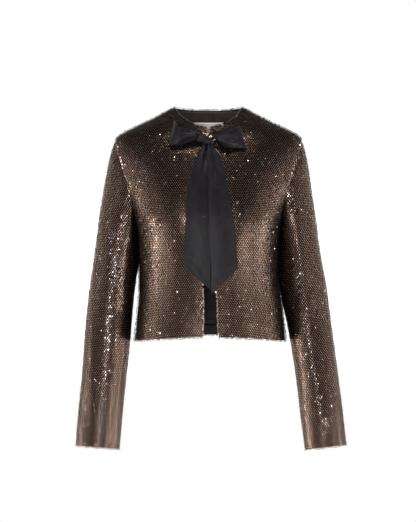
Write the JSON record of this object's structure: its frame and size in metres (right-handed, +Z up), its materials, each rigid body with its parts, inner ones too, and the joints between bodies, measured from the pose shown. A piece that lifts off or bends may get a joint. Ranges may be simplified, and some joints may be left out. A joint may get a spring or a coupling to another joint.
{
  "type": "cropped sequin jacket with a neck bow",
  "caption": "Cropped, collarless, open-fronted jacket with long set-in sleeves, in the hollow shape it has when worn, closed at the neck by a ribbon tied in a bow.",
  "frame": {"origin": "halfway between the two neck points, where the shoulder seams meet the neck edge", "axes": "+Z up from the hem to the shoulders, -Y out of the front, +X towards the wearer's left"},
  "size_m": [0.5362, 0.2472, 0.6811],
  "materials": {
    "sequin_cloth": "dark bronze sequins sewn close on black knit, glossy",
    "facing_satin": "dark brown-grey satin",
    "lining": "near-black lining satin",
    "label_tape": "white woven tape, blank",
    "ribbon_satin": "charcoal satin with a soft sheen"
  },
  "bodies": {
    "root": {"front_right": "sequin_cloth", "front_left": "sequin_cloth", "back": "sequin_cloth", "sleeve_right": "sequin_cloth", "sleeve_left": "sequin_cloth", "back_neck_facing": "facing_satin", "back_lining": "lining", "back_hem_facing": "lining", "neck_label": "label_tape", "bow_knot": "ribbon_satin", "bow_loop_right": "ribbon_satin", "bow_loop_left": "ribbon_satin", "tie_tail_right": "ribbon_satin", "tie_tail_left": "ribbon_satin", "tie_band_right": "ribbon_satin", "tie_band_left": "ribbon_satin"}
  },
  "joints": []
}
